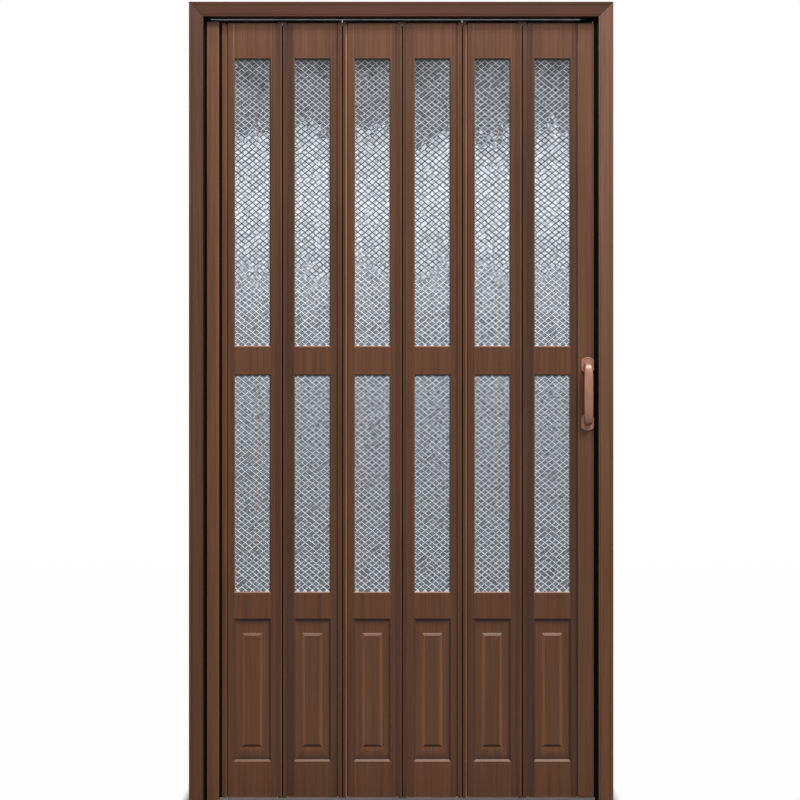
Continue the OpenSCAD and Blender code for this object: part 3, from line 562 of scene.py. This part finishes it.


# Pressed glass: pebbled cells between ribs, with painted shade on the slopes beside the ribs that face down

glass = {
    "cellWidth": 0.0191,      # diagonals of a diamond
    "cellHeight": 0.0155,
    "ribWidth": 0.0014,
    "ribHeight": 0.0007,
    "flatShare": 0.4,         # of half a rib's width, before its slope starts
    "slopeShare": 1.25,
    "wander": 0.0014,         # how far the ribs stray from true
    "wanderScales": (42, 310),
    "crownRelief": 0.00035,   # how far the middle of a cell rises or sinks
    "crownScale": 260,
    "bandTop": 1.944,         # height of the top edge of the upper lights
    "bandBottom": 0.544,      # and of the bottom edge of the lower ones
    # grey levels by height, as a share of the way from that top edge down to that bottom edge; they are painted light
    # and reflections seen in the glass
    "cellTones": [(0.00, 0.026), (0.05, 0.090), (0.139, 0.112), (0.141, 0.44), (0.20, 0.62), (0.27, 0.70),
                  (0.36, 0.61), (0.388, 0.57), (0.408, 0.27), (0.50, 0.20), (0.566, 0.195), (0.60, 0.22),
                  (0.651, 0.205), (0.80, 0.165), (1.00, 0.135)],
    "ribTones": [(0.00, 0.27), (0.05, 0.50), (0.139, 0.66), (0.141, 0.016), (0.24, 0.018), (0.36, 0.025),
                 (0.388, 0.04), (0.408, 0.90), (0.50, 0.85), (0.566, 0.76), (0.60, 0.68), (0.651, 0.61),
                 (0.80, 0.63), (1.00, 0.74)],
    "shadedSlopeTones": [(0.00, 0.012), (0.05, 0.03), (0.139, 0.04), (0.141, 0.03), (0.36, 0.05), (0.649, 0.06),
                    (0.651, 0.06), (1.00, 0.04)],
    "drift": 0.030,           # how far the zones of tone stray up or down, in the same shares
    "driftScale": 14.0,
    "mingling": 0.013,        # how far they reach into each other
    "minglingScale": 60.0,
    "fading": (-0.50, 0.42),  # where ribs of either slant lie flush with the cells, by noise
    "fadingScales": (42, 36),
    "tint": (0.91, 0.985, 1.07),
    "patchScale": 150.0,
    "gritScale": 420.0,
    "fineScale": 1300.0,
    "gloss": 0.6,
    "clearness": 0.05,
    "roughness": (0.12, 0.34),
    "bumpHeight": 0.0005,
    "shadow": {"upper": 0.0120, "lower": 0.0040, "from": 0.30, "level": 0.22},     # below each light's top bead
}


def pressedGlass(name, tones, pebble):
    mat, shader = newFinish(name)
    shader.inputs["Specular IOR Level"].default_value = glass["gloss"]
    shader.inputs["Transmission Weight"].default_value = glass["clearness"]
    shader.inputs["IOR"].default_value = 1.45
    place = placeOf(mat)["Z"]
    drift = noiseValue(mat, objectPoint(mat, (1, 1, 0.6)), glass["driftScale"], 2.0)
    height = mapped(mat, place, glass["bandTop"], glass["bandBottom"], 0.0, 1.0)
    strays = noiseValue(mat, objectPoint(mat), glass["minglingScale"], 0.0)
    height = maths(mat, "ADD", height, mapped(mat, drift, 0.3, 0.7, -glass["drift"], glass["drift"]))
    height = maths(mat, "ADD", height, mapped(mat, strays, 0.35, 0.65, -glass["mingling"], glass["mingling"]))
    tone = ramp(mat, height, [(at, [level * t for t in glass["tint"]]) for at, level in tones])
    patch = noiseValue(mat, objectPoint(mat), glass["patchScale"], 0.0)
    grit = noiseValue(mat, objectPoint(mat), glass["gritScale"], 3.0, 0.7)
    fine = noiseValue(mat, objectPoint(mat), glass["fineScale"], 2.0, 0.6)
    speckle = maths(mat, "MULTIPLY_ADD", grit, 0.65, maths(mat, "MULTIPLY", fine, 0.35))
    low, high = pebble
    shade = maths(mat, "MULTIPLY", mapped(mat, speckle, 0.36, 0.62, low, high), mapped(mat, patch, 0.3, 0.7, low, high))
    shadow = glass["shadow"]
    isUpper = maths(mat, "GREATER_THAN", place, paneHigh.z - lights["upperHeight"] - 0.01)
    belowBead = endDistances(mat)[0]
    depth = maths(mat, "MULTIPLY_ADD", isUpper, shadow["upper"] - shadow["lower"], shadow["lower"])
    under = maths(mat, "DIVIDE", belowBead, depth)
    shade = maths(mat, "MULTIPLY", shade, mapped(mat, under, shadow["from"], 1.0, shadow["level"], 1.0))
    join(mat, blendColours(mat, 1.0, tone, greyOf(mat, shade), "MULTIPLY"), shader, "Base Color")
    join(mat, mapped(mat, grit, 0.3, 0.7, *glass["roughness"]), shader, "Roughness")
    setBump(mat, shader, speckle, 0.5, glass["bumpHeight"])
    return mat


cellGlass = pressedGlass("cellGlass", glass["cellTones"], (0.68, 1.32))
ribGlass = pressedGlass("ribGlass", glass["ribTones"], (0.86, 1.14))
shadedSlopeGlass = pressedGlass("shadedSlopeGlass", glass["shadedSlopeTones"], (0.80, 1.20))
print("lacquer and glass made")


# Finishes on the frame's own nodes

def finishOf(name):
    fixed = {
        "left_jamb": leftJambFoil, "right_jamb": rightJambFoil, "head_jamb": headFoil, "head_track": trackMetal,
        "corner_keys": blackPlastic, "wall_channel": blackPlastic, "strike_strip": blackPlastic,
        "lead_hanger": blackPlastic, "fixing_screws": zincSteel, "handle_bolts": zincSteel, "lead_seal": blackRubber,
        "end_post": endPostFoil, "lead_post": leadPostFoil, "starter_strip": starterFoil,
    }
    if name in fixed:
        return fixed[name]
    for ending, mat in (("_slat", slatFoil), ("_field", fieldFoil), ("_beads", beadPlastic), ("_caps", trimPlastic),
                        ("_hanger", hangerSteel), ("_handle", copperLacquer), ("_panes", cellGlass)):
        if name.endswith(ending):
            return mat
    return stripFoil


for name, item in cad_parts.items():
    for slot in item.material_slots:
        slot.material = finishOf(name)
print("frame finished")


# Mesh helpers

def finishPiece(name, bm, body, mats, smooth=True, replaced=()):
    bmesh.ops.remove_doubles(bm, verts=bm.verts, dist=1e-6)
    bmesh.ops.recalc_face_normals(bm, faces=bm.faces)
    for edge in bm.edges:
        edge.smooth = edge.calc_face_angle(math.pi) < math.radians(38)
    mesh = bpy.data.meshes.new(name)
    bm.to_mesh(mesh)
    bm.free()
    for mat in mats:
        mesh.materials.append(mat)
    for polygon in mesh.polygons:
        polygon.use_smooth = smooth
    piece = bpy.data.objects.new(name, mesh)
    bpy.context.scene.collection.objects.link(piece)
    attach(piece, body)
    if replaced:
        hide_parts(*replaced)
    return piece


def roundBar(bm, centre, radius, low, high, segments=16):
    ring = bmesh.ops.create_circle(bm, cap_ends=True, segments=segments, radius=radius,
                                   matrix=Matrix.Translation((*centre, low)))["verts"]
    face = ring[0].link_faces[0]
    top = bmesh.ops.extrude_face_region(bm, geom=[face])["geom"]
    bmesh.ops.translate(bm, verts=[v for v in top if isinstance(v, bmesh.types.BMVert)], vec=(0, 0, high - low))


# Patterned panes, one piece for both lights of a slat

def cutToRectangle(bm, low, high):
    for place, direction in (((low.x, 0, 0), (-1, 0, 0)), ((high.x, 0, 0), (1, 0, 0)),
                             ((0, 0, low.z), (0, 0, -1)), ((0, 0, high.z), (0, 0, 1))):
        geom = list(bm.verts) + list(bm.edges) + list(bm.faces)
        bmesh.ops.bisect_plane(bm, geom=geom, dist=1e-6, plane_co=place, plane_no=direction, clear_outer=True)


def latticePane(low, high, seed):
    bm = bmesh.new()
    centre = (low + high) / 2
    reach = (high.x - low.x) / glass["cellWidth"] + (high.z - low.z) / glass["cellHeight"]
    count = math.ceil(reach) + 4
    bmesh.ops.create_grid(bm, x_segments=count, y_segments=count, size=0.5 * count)
    root = math.sqrt(0.5)
    bmesh.ops.rotate(bm, verts=bm.verts, matrix=Matrix.Rotation(math.radians(45), 3, "Z"))
    bmesh.ops.scale(bm, verts=bm.verts, vec=(root * glass["cellWidth"], root * glass["cellHeight"], 1))
    bmesh.ops.rotate(bm, verts=bm.verts, matrix=Matrix.Rotation(math.radians(90), 3, "X"))
    bmesh.ops.translate(bm, verts=bm.verts, vec=(centre.x, low.y, centre.z))
    slow, quick = glass["wanderScales"]
    for v in bm.verts:
        sway = noise.noise_vector(v.co * slow + Vector((seed, 0, 0))) + noise.noise_vector(v.co * quick)
        v.co += sway * glass["wander"] / 2
        v.co.y = low.y
    cutToRectangle(bm, low, high)
    whole = 0.4 * glass["cellWidth"] * glass["cellHeight"] / 2
    cells = [f for f in bm.faces if f.calc_area() > whole]
    ribs = [f for f in bm.faces if f.calc_area() <= whole]
    for f in ribs:
        f.material_index = 1
    half = glass["ribWidth"] / 2
    flat = bmesh.ops.inset_individual(bm, faces=cells, thickness=half * glass["flatShare"],
                                      use_even_offset=True)["faces"]
    slope = bmesh.ops.inset_individual(bm, faces=cells, thickness=half * glass["slopeShare"],
                                       depth=-glass["ribHeight"], use_even_offset=True)["faces"]
    sunk = set(slope)
    fadingX, fadingZ = glass["fadingScales"]
    risingBelow, fallingAbove = glass["fading"]
    for f in flat + slope:
        middle = f.calc_center_median()
        f.normal_update()
        edge = max(f.edges, key=lambda e: e.calc_length())
        run = edge.verts[1].co - edge.verts[0].co
        rising = run.x * run.z > 0
        patch = noise.noise(Vector((middle.x * fadingX + seed, 5, middle.z * fadingZ)))
        if (rising and patch < risingBelow) or (not rising and patch > fallingAbove):
            f.material_index = 0
        else:
            # Slopes facing down take painted shade; flats and the other slopes go with the ribs
            f.material_index = 2 if f in sunk and f.normal.z * f.normal.y > 0 else 1
    crowns = bmesh.ops.poke(bm, faces=cells, offset=0, center_mode="MEAN")["verts"]
    for v in crowns:
        v.co.y += glass["crownRelief"] * noise.noise(v.co * glass["crownScale"] + Vector((0, seed, 0)))
    # the back carries the same pattern, and walls join the two
    copy = bmesh.ops.duplicate(bm, geom=list(bm.verts) + list(bm.edges) + list(bm.faces))["geom"]
    backVerts = [v for v in copy if isinstance(v, bmesh.types.BMVert)]
    bmesh.ops.scale(bm, verts=backVerts, vec=(1, -1, 1), space=Matrix.Translation((0, -centre.y, 0)))
    rim = [e for e in bm.edges if e.is_boundary]
    walls = bmesh.ops.bridge_loops(bm, edges=rim)["faces"]
    for f in walls:
        f.material_index = 1
    return bm


for number in range(1, 7):
    node = "panel_%d_panes" % number
    low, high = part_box(node)
    both = bmesh.new()
    spans = ((low.z, low.z + lights["lowerHeight"]), (high.z - lights["upperHeight"], high.z))
    for part, (bottom, top) in enumerate(spans):
        pane = latticePane(Vector((low.x, low.y, bottom)), Vector((high.x, high.y, top)), number * 7.3 + part * 3.1)
        mesh = bpy.data.meshes.new("paneWork")
        pane.to_mesh(mesh)
        pane.free()
        both.from_mesh(mesh)
        bpy.data.meshes.remove(mesh)
    finishPiece("slat%d_glass" % number, both, "panel_%d" % number,
                [cellGlass, ribGlass, shadedSlopeGlass], smooth=False, replaced=[node])
print("patterned panes made")


# Bow handles: a swelling strap that springs from two clipped round pads

bow = {
    "padRadius": 0.021,
    "padThickness": 0.004,
    "padChamfer": 0.0011,
    "padRim": 0.0016,
    "padSink": 0.0008,        # of the pad's face inside its rim
    "padPitch": 0.150,
    "reach": 0.036,           # from the post's face to the front of the strap
    "rootRise": 0.001,        # of the strap's ends inside the pads
    "strapWidths": (0.0184, 0.0228, 0.0212),     # at the top root, the middle and the lower root
    "rootThickness": 0.0165,
    "middleThickness": 0.0070,
    "squareness": 4.6,        # of the arch
    "rounding": (2.9, 4.4, 2.1),       # squareness of the strap's section, at the same three places
    "rings": 56,
    "sides": 32,
}


def padShape(bm, centreX, padWidth, centreZ, face, side):
    upright = Matrix.Translation((centreX, face, centreZ)) @ Matrix.Rotation(math.pi / 2, 4, "X")
    ring = bmesh.ops.create_circle(bm, cap_ends=True, segments=72, radius=bow["padRadius"], matrix=upright)["verts"]
    plate = ring[0].link_faces[0]
    geom = list(plate.verts) + list(plate.edges) + [plate]
    for sign in (-1, 1):
        cut = bmesh.ops.bisect_plane(bm, geom=geom, dist=1e-7, plane_co=(centreX + sign * padWidth / 2, 0, 0),
                                     plane_no=(sign, 0, 0), clear_outer=True)
        plate = next(g for g in cut["geom"] if isinstance(g, bmesh.types.BMFace))
        geom = list(plate.verts) + list(plate.edges) + [plate]
    grown = bmesh.ops.extrude_face_region(bm, geom=[plate], use_keep_orig=True)["geom"]
    topVerts = [g for g in grown if isinstance(g, bmesh.types.BMVert)]
    bmesh.ops.translate(bm, verts=topVerts, vec=(0, side * bow["padThickness"], 0))
    rim = [g for g in grown if isinstance(g, bmesh.types.BMEdge)]
    bmesh.ops.bevel(bm, geom=rim, offset=bow["padChamfer"], affect="EDGES", segments=3, profile=0.5, material=-1)
    top = face + side * bow["padThickness"]
    front = max((f for f in bm.faces if all(abs(v.co.y - top) < 1e-6 for v in f.verts)
                 and abs(f.calc_center_median().z - centreZ) < bow["padRadius"]), key=lambda f: f.calc_area())
    reach = Vector((padWidth / 2, 0, bow["padRadius"])) - Vector((bow["padChamfer"], 0, bow["padChamfer"]))
    for inward, sink in ((bow["padRim"], 0.0), (bow["padSink"], bow["padSink"])):
        old = front
        grown = bmesh.ops.extrude_face_region(bm, geom=[front])["geom"]
        front = next(g for g in grown if isinstance(g, bmesh.types.BMFace))
        bmesh.ops.delete(bm, geom=[old], context="FACES_ONLY")
        inner = reach - Vector((inward, 0, inward))
        bmesh.ops.scale(bm, verts=front.verts, vec=(inner.x / reach.x, 1, inner.z / reach.z),
                        space=Matrix.Translation((-centreX, 0, -centreZ)))
        bmesh.ops.translate(bm, verts=front.verts, vec=(0, -side * sink, 0))
        reach = inner


def strapShape(bm, centreX, centreZ, face, side):
    half = bow["padPitch"] / 2
    crown = bow["reach"] - bow["middleThickness"] / 2 - bow["rootRise"]

    def arch(t):
        along, out = math.cos(t), math.sin(t)
        power = 2 / bow["squareness"]
        return (math.copysign(abs(along) ** power, along) * half, abs(out) ** power * crown)

    rings = bow["rings"]
    loop = bmesh.ops.create_circle(bm, cap_ends=True, segments=bow["sides"], radius=1.0)["verts"]
    edges = list(loop[0].link_faces[0].edges)
    angles = [math.atan2(v.co.y, v.co.x) for v in loop]

    def between(values, t):
        top, middle, low = values
        end = top if t < math.pi / 2 else low
        return end + (middle - end) * math.sin(t) ** 2

    def rounded(share, power):
        return math.copysign(abs(share) ** (2 / power), share) / 2

    for step in range(rings + 1):
        s = step / rings
        t = math.pi * (0.5 - 0.5 * math.cos(math.pi * s))      # closer rings in the bends
        z, out = arch(t)
        ahead, behind = arch(min(math.pi, t + 0.01)), arch(max(0, t - 0.01))
        slope = Vector((ahead[0] - behind[0], ahead[1] - behind[1])).normalized()
        swell = math.sin(t) ** 1.3
        thick = bow["rootThickness"] + (bow["middleThickness"] - bow["rootThickness"]) * swell
        wide, power = between(bow["strapWidths"], t), between(bow["rounding"], t)
        if step:
            grown = bmesh.ops.extrude_edge_only(bm, edges=edges)["geom"]
            edges = [g for g in grown if isinstance(g, bmesh.types.BMEdge) and g.is_boundary]
            fresh = {v for e in edges for v in e.verts}
            loop = [next(e.other_vert(v) for e in v.link_edges if e.other_vert(v) in fresh) for v in loop]
        for v, angle in zip(loop, angles):
            offset = rounded(math.sin(angle), power) * thick
            v.co = Vector((centreX + rounded(math.cos(angle), power) * wide,
                           face + side * (out + bow["rootRise"] + offset * -slope[0]),
                           centreZ + z + offset * slope[1]))
    bmesh.ops.contextual_create(bm, geom=edges)


for name in ("front_handle", "rear_handle"):
    low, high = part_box(name)
    side = -1 if name == "front_handle" else 1
    face = high.y if side < 0 else low.y
    centreX, centreZ = (low.x + high.x) / 2, (low.z + high.z) / 2
    bm = bmesh.new()
    for sign in (-1, 1):
        padShape(bm, centreX, high.x - low.x, centreZ + sign * bow["padPitch"] / 2, face, side)
    strapShape(bm, centreX, centreZ, face, side)
    finishPiece(name.replace("_handle", "BowHandle"), bm, "lead", [copperLacquer], replaced=[name])
print("handles made")


# Soft cords in the strips' front grooves, with a nylon plug over each, and small fittings along the head

def roundedPin(bm, centre, radius, low, high, rounding, segments=24):
    roundBar(bm, centre, radius, low, high, segments)
    rims = [e for e in bm.edges if abs(e.verts[0].co.z - e.verts[1].co.z) < 1e-7]
    bmesh.ops.bevel(bm, geom=rims, offset=rounding, affect="EDGES", segments=3, profile=0.5, material=-1)


groove = {
    "cordRadius": 0.00155,
    "cordCentre": -0.0019,    # in y; the hinge lines are at 0
    "hangerStem": 0.0246,     # how far a hanger's stem reaches down into its strip
    "stubRadius": 0.00085,    # of what fits in front of that stem
    "stubCentre": -0.00455,
    "stubOverlap": 0.004,
    "endGap": 0.0006,
    "plugLength": 0.0042,
    "plugCentre": -0.00375,
}

for number in range(1, 6):
    low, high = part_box("strip_%d" % number)
    middle = (low.x + high.x) / 2
    hung = number % 2 == 0
    bm = bmesh.new()
    top = high.z - (groove["hangerStem"] if hung else groove["plugLength"] + groove["endGap"])
    roundBar(bm, (middle, groove["cordCentre"]), groove["cordRadius"], low.z + groove["endGap"], top)
    if hung:
        roundBar(bm, (middle, groove["stubCentre"]), groove["stubRadius"], top - groove["stubOverlap"],
                 high.z - groove["plugLength"] - groove["endGap"])
    finishPiece("strip%d_cord" % number, bm, "strip_%d" % number, [blackRubber])
    bm = bmesh.new()
    radius = groove["stubRadius"] if hung else groove["cordRadius"]
    depth = groove["stubCentre"] if hung else groove["plugCentre"]
    roundedPin(bm, (middle, depth), radius, high.z - groove["plugLength"], high.z - 0.0001, radius * 0.45)
    finishPiece("strip%d_plug" % number, bm, "strip_%d" % number, [greyNylon])

stopPin = {"radius": 0.0021, "inset": 0.0034, "height": 0.0034}
low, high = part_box("lead_post")
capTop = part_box("lead_caps")[1].z
bm = bmesh.new()
roundedPin(bm, (high.x - stopPin["inset"], low.y + stopPin["inset"]), stopPin["radius"], capTop - 0.0002,
           capTop + stopPin["height"], stopPin["radius"] * 0.6)
finishPiece("leadStopPin", bm, "lead", [zincSteel])


# A black brush hangs from the track's rear edge and closes the view over the slats, a dark sheet that stands in for the
# shade there

shadeBrush = {"rear": 0.0006, "thickness": 0.0016, "drop": 0.0088, "tufts": 900, "unevenness": 0.0005, "sink": 0.0002}
low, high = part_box("head_track")
bm = bmesh.new()
bmesh.ops.create_grid(bm, x_segments=shadeBrush["tufts"], y_segments=3, size=0.5)
bmesh.ops.scale(bm, verts=bm.verts, vec=(high.x - low.x, shadeBrush["drop"], 1))
bmesh.ops.rotate(bm, verts=bm.verts, matrix=Matrix.Rotation(math.radians(90), 3, "X"))
bmesh.ops.translate(bm, verts=bm.verts, vec=((low.x + high.x) / 2, high.y - shadeBrush["rear"],
                                             low.z - shadeBrush["drop"] / 2 + shadeBrush["sink"]))
for v in bm.verts:
    hang = (low.z - v.co.z) / shadeBrush["drop"]
    v.co.y += shadeBrush["unevenness"] * hang * noise.noise(Vector((v.co.x * 900, 0, 0)))
    v.co.z += shadeBrush["unevenness"] * hang * abs(noise.noise(Vector((v.co.x * 1400, 7, 0))))
bmesh.ops.solidify(bm, geom=bm.faces, thickness=shadeBrush["thickness"])
finishPiece("trackShadeBrush", bm, "casing", [blackRubber])
print("cords and fittings made")


# Floor, light, background and camera

studio = {
    "floorSize": 14.0,
    "floorColour": (0.42, 0.42, 0.42),
    "floorDrop": 0.0005,
    "floorGlow": 0.975,       # share of the floor's own white away from the object, as the camera sees it
    "floorGlowNear": 0.0,     # the same share close under the door
    "glowFrom": (0.03, 0.35),      # metres in front of the door over which it grows
    "glowBeside": 14.0,       # how much faster it grows beside the door
    "ambient": 0.03,
    "sunStrength": 2.7,
    "sunFrom": (0.40, -0.72, 1.0),
    "sunAngle": 11.0,         # degrees
    "topPower": 95.0,
    "topPlace": (0.15, -2.1, 4.1),
    "topSize": 1.6,
    "rearPower": 110.0,       # for views from behind
    "rearPlace": (-1.4, 3.8, 2.9),
    "aim": (0.0, 0.0, 1.15),
    "cameraPlace": (-0.003, -5.0055, 1.049),
    "viewWidth": 23.66,       # degrees
}

world = bpy.data.worlds.new("studioWorld")
world.use_nodes = True
bpy.context.scene.world = world
world.node_tree.nodes.clear()
ambient = addNode(world, "ShaderNodeBackground", {"Color": (1, 1, 1, 1), "Strength": studio["ambient"]})
white = addNode(world, "ShaderNodeBackground", {"Color": (1, 1, 1, 1), "Strength": 1.0})
rays = addNode(world, "ShaderNodeLightPath")
seen = maths(world, "MAXIMUM", rays.outputs["Is Camera Ray"], rays.outputs["Is Glossy Ray"])
seen = maths(world, "MAXIMUM", seen, rays.outputs["Is Transmission Ray"])
mixed = addNode(world, "ShaderNodeMixShader", {0: seen, 1: ambient.outputs[0], 2: white.outputs[0]})
addNode(world, "ShaderNodeOutputWorld", {"Surface": mixed.outputs[0]})

floorMat = bpy.data.materials.new("paleFloor")
floorMat.use_nodes = True
floorMat.node_tree.nodes.clear()
matt = addNode(floorMat, "ShaderNodeBsdfDiffuse", {"Color": (*studio["floorColour"], 1)})
glow = addNode(floorMat, "ShaderNodeEmission", {"Color": (1, 1, 1, 1), "Strength": 1.0})
rays = addNode(floorMat, "ShaderNodeLightPath")
seen = maths(floorMat, "MAXIMUM", rays.outputs["Is Glossy Ray"], rays.outputs["Is Transmission Ray"])
seen = maths(floorMat, "MAXIMUM", rays.outputs["Is Camera Ray"], seen)
# Painted shadow: close under and beside the door the floor's glow fades out, so it shows its dark matt colour round its
# real shadow
away = maths(floorMat, "ABSOLUTE", placeOf(floorMat)["Y"])
beside = maths(floorMat, "SUBTRACT", maths(floorMat, "ABSOLUTE", placeOf(floorMat)["X"]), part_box("right_jamb")[1].x)
away = maths(floorMat, "MAXIMUM", away, maths(floorMat, "MULTIPLY", beside, studio["glowBeside"]))
glowShare = mapped(floorMat, away, *studio["glowFrom"], studio["floorGlowNear"], studio["floorGlow"])
share = maths(floorMat, "MULTIPLY", seen, glowShare)
mixed = addNode(floorMat, "ShaderNodeMixShader", {0: share, 1: matt.outputs[0], 2: glow.outputs[0]})
addNode(floorMat, "ShaderNodeOutputMaterial", {"Surface": mixed.outputs[0]})

bm = bmesh.new()
bmesh.ops.create_grid(bm, x_segments=1, y_segments=1, size=studio["floorSize"] / 2)
bmesh.ops.translate(bm, verts=bm.verts, vec=(0, 0, -studio["floorDrop"]))
mesh = bpy.data.meshes.new("floor")
bm.to_mesh(mesh)
bm.free()
mesh.materials.append(floorMat)
floor = bpy.data.objects.new("floor", mesh)
bpy.context.scene.collection.objects.link(floor)


def softLamp(name, place, power, size):
    lamp = bpy.data.lights.new(name, "AREA")
    lamp.energy = power
    lamp.size = size
    item = bpy.data.objects.new(name, lamp)
    item.location = place
    item.rotation_euler = (Vector(studio["aim"]) - Vector(place)).to_track_quat("-Z", "Y").to_euler()
    bpy.context.scene.collection.objects.link(item)


softLamp("topLamp", studio["topPlace"], studio["topPower"], studio["topSize"])
softLamp("rearLamp", studio["rearPlace"], studio["rearPower"], studio["topSize"])
sun = bpy.data.lights.new("sunLamp", "SUN")
sun.energy = studio["sunStrength"]
sun.angle = math.radians(studio["sunAngle"])
sunItem = bpy.data.objects.new("sunLamp", sun)
sunItem.rotation_euler = Vector(studio["sunFrom"]).to_track_quat("Z", "Y").to_euler()
bpy.context.scene.collection.objects.link(sunItem)

camera = bpy.data.cameras.new("camera")
camera.sensor_width = 36.0
camera.lens = 18.0 / math.tan(math.radians(studio["viewWidth"] / 2))
cameraItem = bpy.data.objects.new("camera", camera)
cameraItem.location = studio["cameraPlace"]
cameraItem.rotation_euler = (math.radians(90), 0, 0)
bpy.context.scene.collection.objects.link(cameraItem)
bpy.context.scene.camera = cameraItem
bpy.context.scene.view_settings.view_transform = "Standard"
print("studio set")
